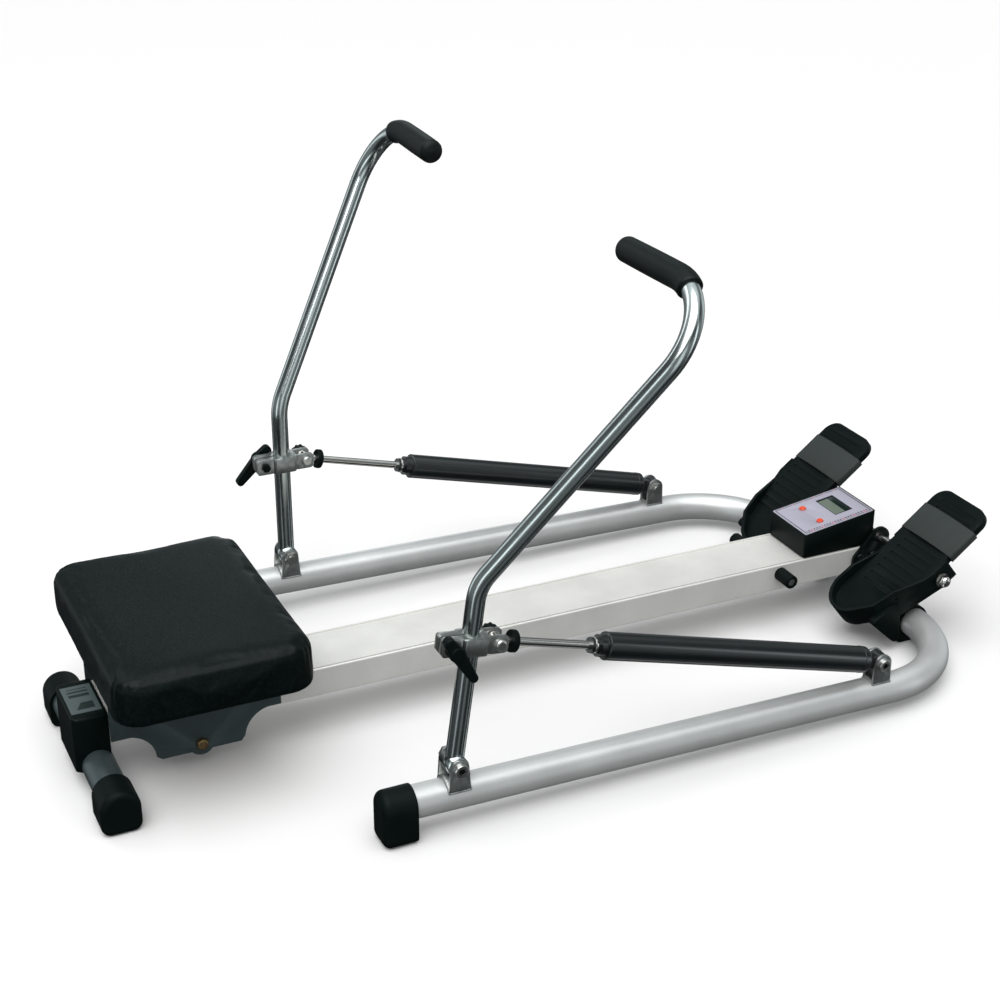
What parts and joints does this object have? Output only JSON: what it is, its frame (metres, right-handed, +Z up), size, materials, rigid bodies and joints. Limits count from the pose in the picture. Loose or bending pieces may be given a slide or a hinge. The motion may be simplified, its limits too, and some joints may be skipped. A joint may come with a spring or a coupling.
{
  "type": "twin-arm hydraulic rowing machine",
  "caption": "Low rowing machine with a U-shaped base, sliding padded seat on a central beam, two bent rowing arms on hydraulic dampers, tilting foot plates and a small console.",
  "frame": {"origin": "on the floor, under the middle of the machine's bounding box", "axes": "+X towards the foot plates along the beam, +Y to the rower's left, +Z up"},
  "size_m": [1.1562, 0.7172, 0.6404],
  "materials": {
    "silver_paint": "silver powder coat",
    "beam_silver": "satin anodised",
    "black_plastic": "black moulded",
    "label_grey": "printed plate",
    "black_paint": "black paint",
    "zinc": "zinc plated",
    "rubber": "black rubber",
    "console_silver": "silver film",
    "display": "liquid crystal window",
    "button_red": "red button",
    "vinyl": "grained black vinyl",
    "board": "plywood",
    "carriage_paint": "dark silver paint",
    "nylon": "nylon",
    "chrome": "chrome plated",
    "foam": "black foam",
    "cast_silver": "satin cast",
    "damper_black": "gloss black",
    "rod_steel": "polished steel",
    "webbing": "black webbing"
  },
  "bodies": {
    "frame": {"base_tube": "silver_paint", "main_beam": "beam_silver", "beam_rear_cover": "black_plastic", "beam_label_plate": "label_grey", "rear_crossbar": "silver_paint", "front_bracket": "black_paint", "front_bracket_bolts": "zinc", "pedal_axle": "zinc", "axle_nuts": "zinc", "stop_pegs": "rubber", "stop_screws": "zinc", "console_body": "black_plastic", "console_face": "console_silver", "console_display": "display", "base_cap_right": "rubber", "crossbar_cap_right": "rubber", "front_foot_right": "rubber", "arm_bracket_right": "silver_paint", "pivot_bolt_right": "zinc", "damper_bracket_right": "silver_paint", "damper_bolt_right": "zinc", "base_cap_left": "rubber", "crossbar_cap_left": "rubber", "front_foot_left": "rubber", "arm_bracket_left": "silver_paint", "pivot_bolt_left": "zinc", "damper_bracket_left": "silver_paint", "damper_bolt_left": "zinc"},
    "seat": {"seat_cushion": "vinyl", "seat_board": "board", "seat_carriage": "carriage_paint", "carriage_axles": "zinc", "carriage_nuts": "zinc"},
    "rear_roller": {"roller_rear": "nylon"},
    "front_roller": {"roller_front": "nylon"},
    "lower_roller": {"roller_lower": "nylon"},
    "right_arm": {"arm_tube_right": "chrome", "grip_right": "foam", "clamp_right": "cast_silver", "yoke_bolt_right": "zinc", "yoke_knob_right": "black_plastic"},
    "right_lever": {"clamp_lever_right": "black_plastic"},
    "right_damper": {"damper_cylinder_right": "damper_black"},
    "right_rod": {"damper_rod_right": "rod_steel", "rod_bumper_right": "rubber"},
    "right_pedal": {"foot_plate_right": "black_plastic", "foot_strap_right": "webbing"},
    "right_button": {"console_button_right": "button_red"},
    "left_arm": {"arm_tube_left": "chrome", "grip_left": "foam", "clamp_left": "cast_silver", "yoke_bolt_left": "zinc", "yoke_knob_left": "black_plastic"},
    "left_lever": {"clamp_lever_left": "black_plastic"},
    "left_damper": {"damper_cylinder_left": "damper_black"},
    "left_rod": {"damper_rod_left": "rod_steel", "rod_bumper_left": "rubber"},
    "left_pedal": {"foot_plate_left": "black_plastic", "foot_strap_left": "webbing"},
    "left_button": {"console_button_left": "button_red"}
  },
  "joints": [
    {"name": "seat_slide", "type": "slide", "parent": "frame", "child": "seat", "axis": [1, 0, 0], "range_m": [0, 0.64]},
    {"name": "rear_roller_spin", "type": "hinge", "parent": "seat", "child": "rear_roller", "pos_m": [-0.50645, 0, 0.10285], "axis": [0, 1, 0], "continuous": true},
    {"name": "front_roller_spin", "type": "hinge", "parent": "seat", "child": "front_roller", "pos_m": [-0.36645, 0, 0.10285], "axis": [0, 1, 0], "continuous": true},
    {"name": "lower_roller_spin", "type": "hinge", "parent": "seat", "child": "lower_roller", "pos_m": [-0.43645, 0, 0.0354], "axis": [0, 1, 0], "continuous": true},
    {"name": "right_arm_swing", "type": "hinge", "parent": "frame", "child": "right_arm", "pos_m": [-0.21695, -0.277, 0.0802], "axis": [0, 1, 0], "range_deg": [-37.9, 12.1]},
    {"name": "right_lever_turn", "type": "hinge", "parent": "right_arm", "child": "right_lever", "pos_m": [-0.22178, -0.277, 0.22726], "axis": [0, 1, 0], "range_deg": [-90, 90]},
    {"name": "right_damper_tilt", "type": "hinge", "parent": "frame", "child": "right_damper", "pos_m": [0.33825, -0.277, 0.0725], "axis": [0, 1, 0], "range_deg": [-1.38, 0.46]},
    {"name": "right_rod_slide", "type": "slide", "parent": "right_damper", "child": "right_rod", "axis": [-0.9601, 0, 0.2797], "range_m": [-0.03068, 0.09503]},
    {"name": "right_pedal_tilt", "type": "hinge", "parent": "frame", "child": "right_pedal", "pos_m": [0.50255, -0.128, 0.099], "axis": [0, 1, 0], "range_deg": [0, 30]},
    {"name": "right_button_press", "type": "slide", "parent": "frame", "child": "right_button", "axis": [0.1426, 0, -0.9898], "range_m": [0, 0.0012], "stiffness_N_per_m": 400, "springref_m": -0.001},
    {"name": "left_arm_swing", "type": "hinge", "parent": "frame", "child": "left_arm", "pos_m": [-0.21695, 0.277, 0.0802], "axis": [0, 1, 0], "range_deg": [-30, 20]},
    {"name": "left_lever_turn", "type": "hinge", "parent": "left_arm", "child": "left_lever", "pos_m": [-0.24195, 0.277, 0.2127], "axis": [0, 1, 0], "range_deg": [-90, 90]},
    {"name": "left_damper_tilt", "type": "hinge", "parent": "frame", "child": "left_damper", "pos_m": [0.33825, 0.277, 0.0725], "axis": [0, 1, 0], "range_deg": [-0.74, 0.5]},
    {"name": "left_rod_slide", "type": "slide", "parent": "left_damper", "child": "left_rod", "axis": [-0.9661, 0, 0.2581], "range_m": [-0.04626, 0.06914]},
    {"name": "left_pedal_tilt", "type": "hinge", "parent": "frame", "child": "left_pedal", "pos_m": [0.50255, 0.128, 0.099], "axis": [0, 1, 0], "range_deg": [0, 30]},
    {"name": "left_button_press", "type": "slide", "parent": "frame", "child": "left_button", "axis": [0.1426, 0, -0.9898], "range_m": [0, 0.0012], "stiffness_N_per_m": 400, "springref_m": -0.001}
  ],
  "couplings": [
    {"joint": "rear_roller_spin", "follows": "seat_slide", "rad_per_m": 71.174},
    {"joint": "front_roller_spin", "follows": "seat_slide", "rad_per_m": 71.174},
    {"joint": "lower_roller_spin", "follows": "seat_slide", "rad_per_m": -58.651},
    {"joint": "right_damper_tilt", "follows": "right_arm_swing", "ratio": 0.036},
    {"joint": "right_rod_slide", "follows": "right_arm_swing", "m_per_rad": -0.1429},
    {"joint": "left_damper_tilt", "follows": "left_arm_swing", "ratio": 0.024},
    {"joint": "left_rod_slide", "follows": "left_arm_swing", "m_per_rad": -0.1311}
  ]
}
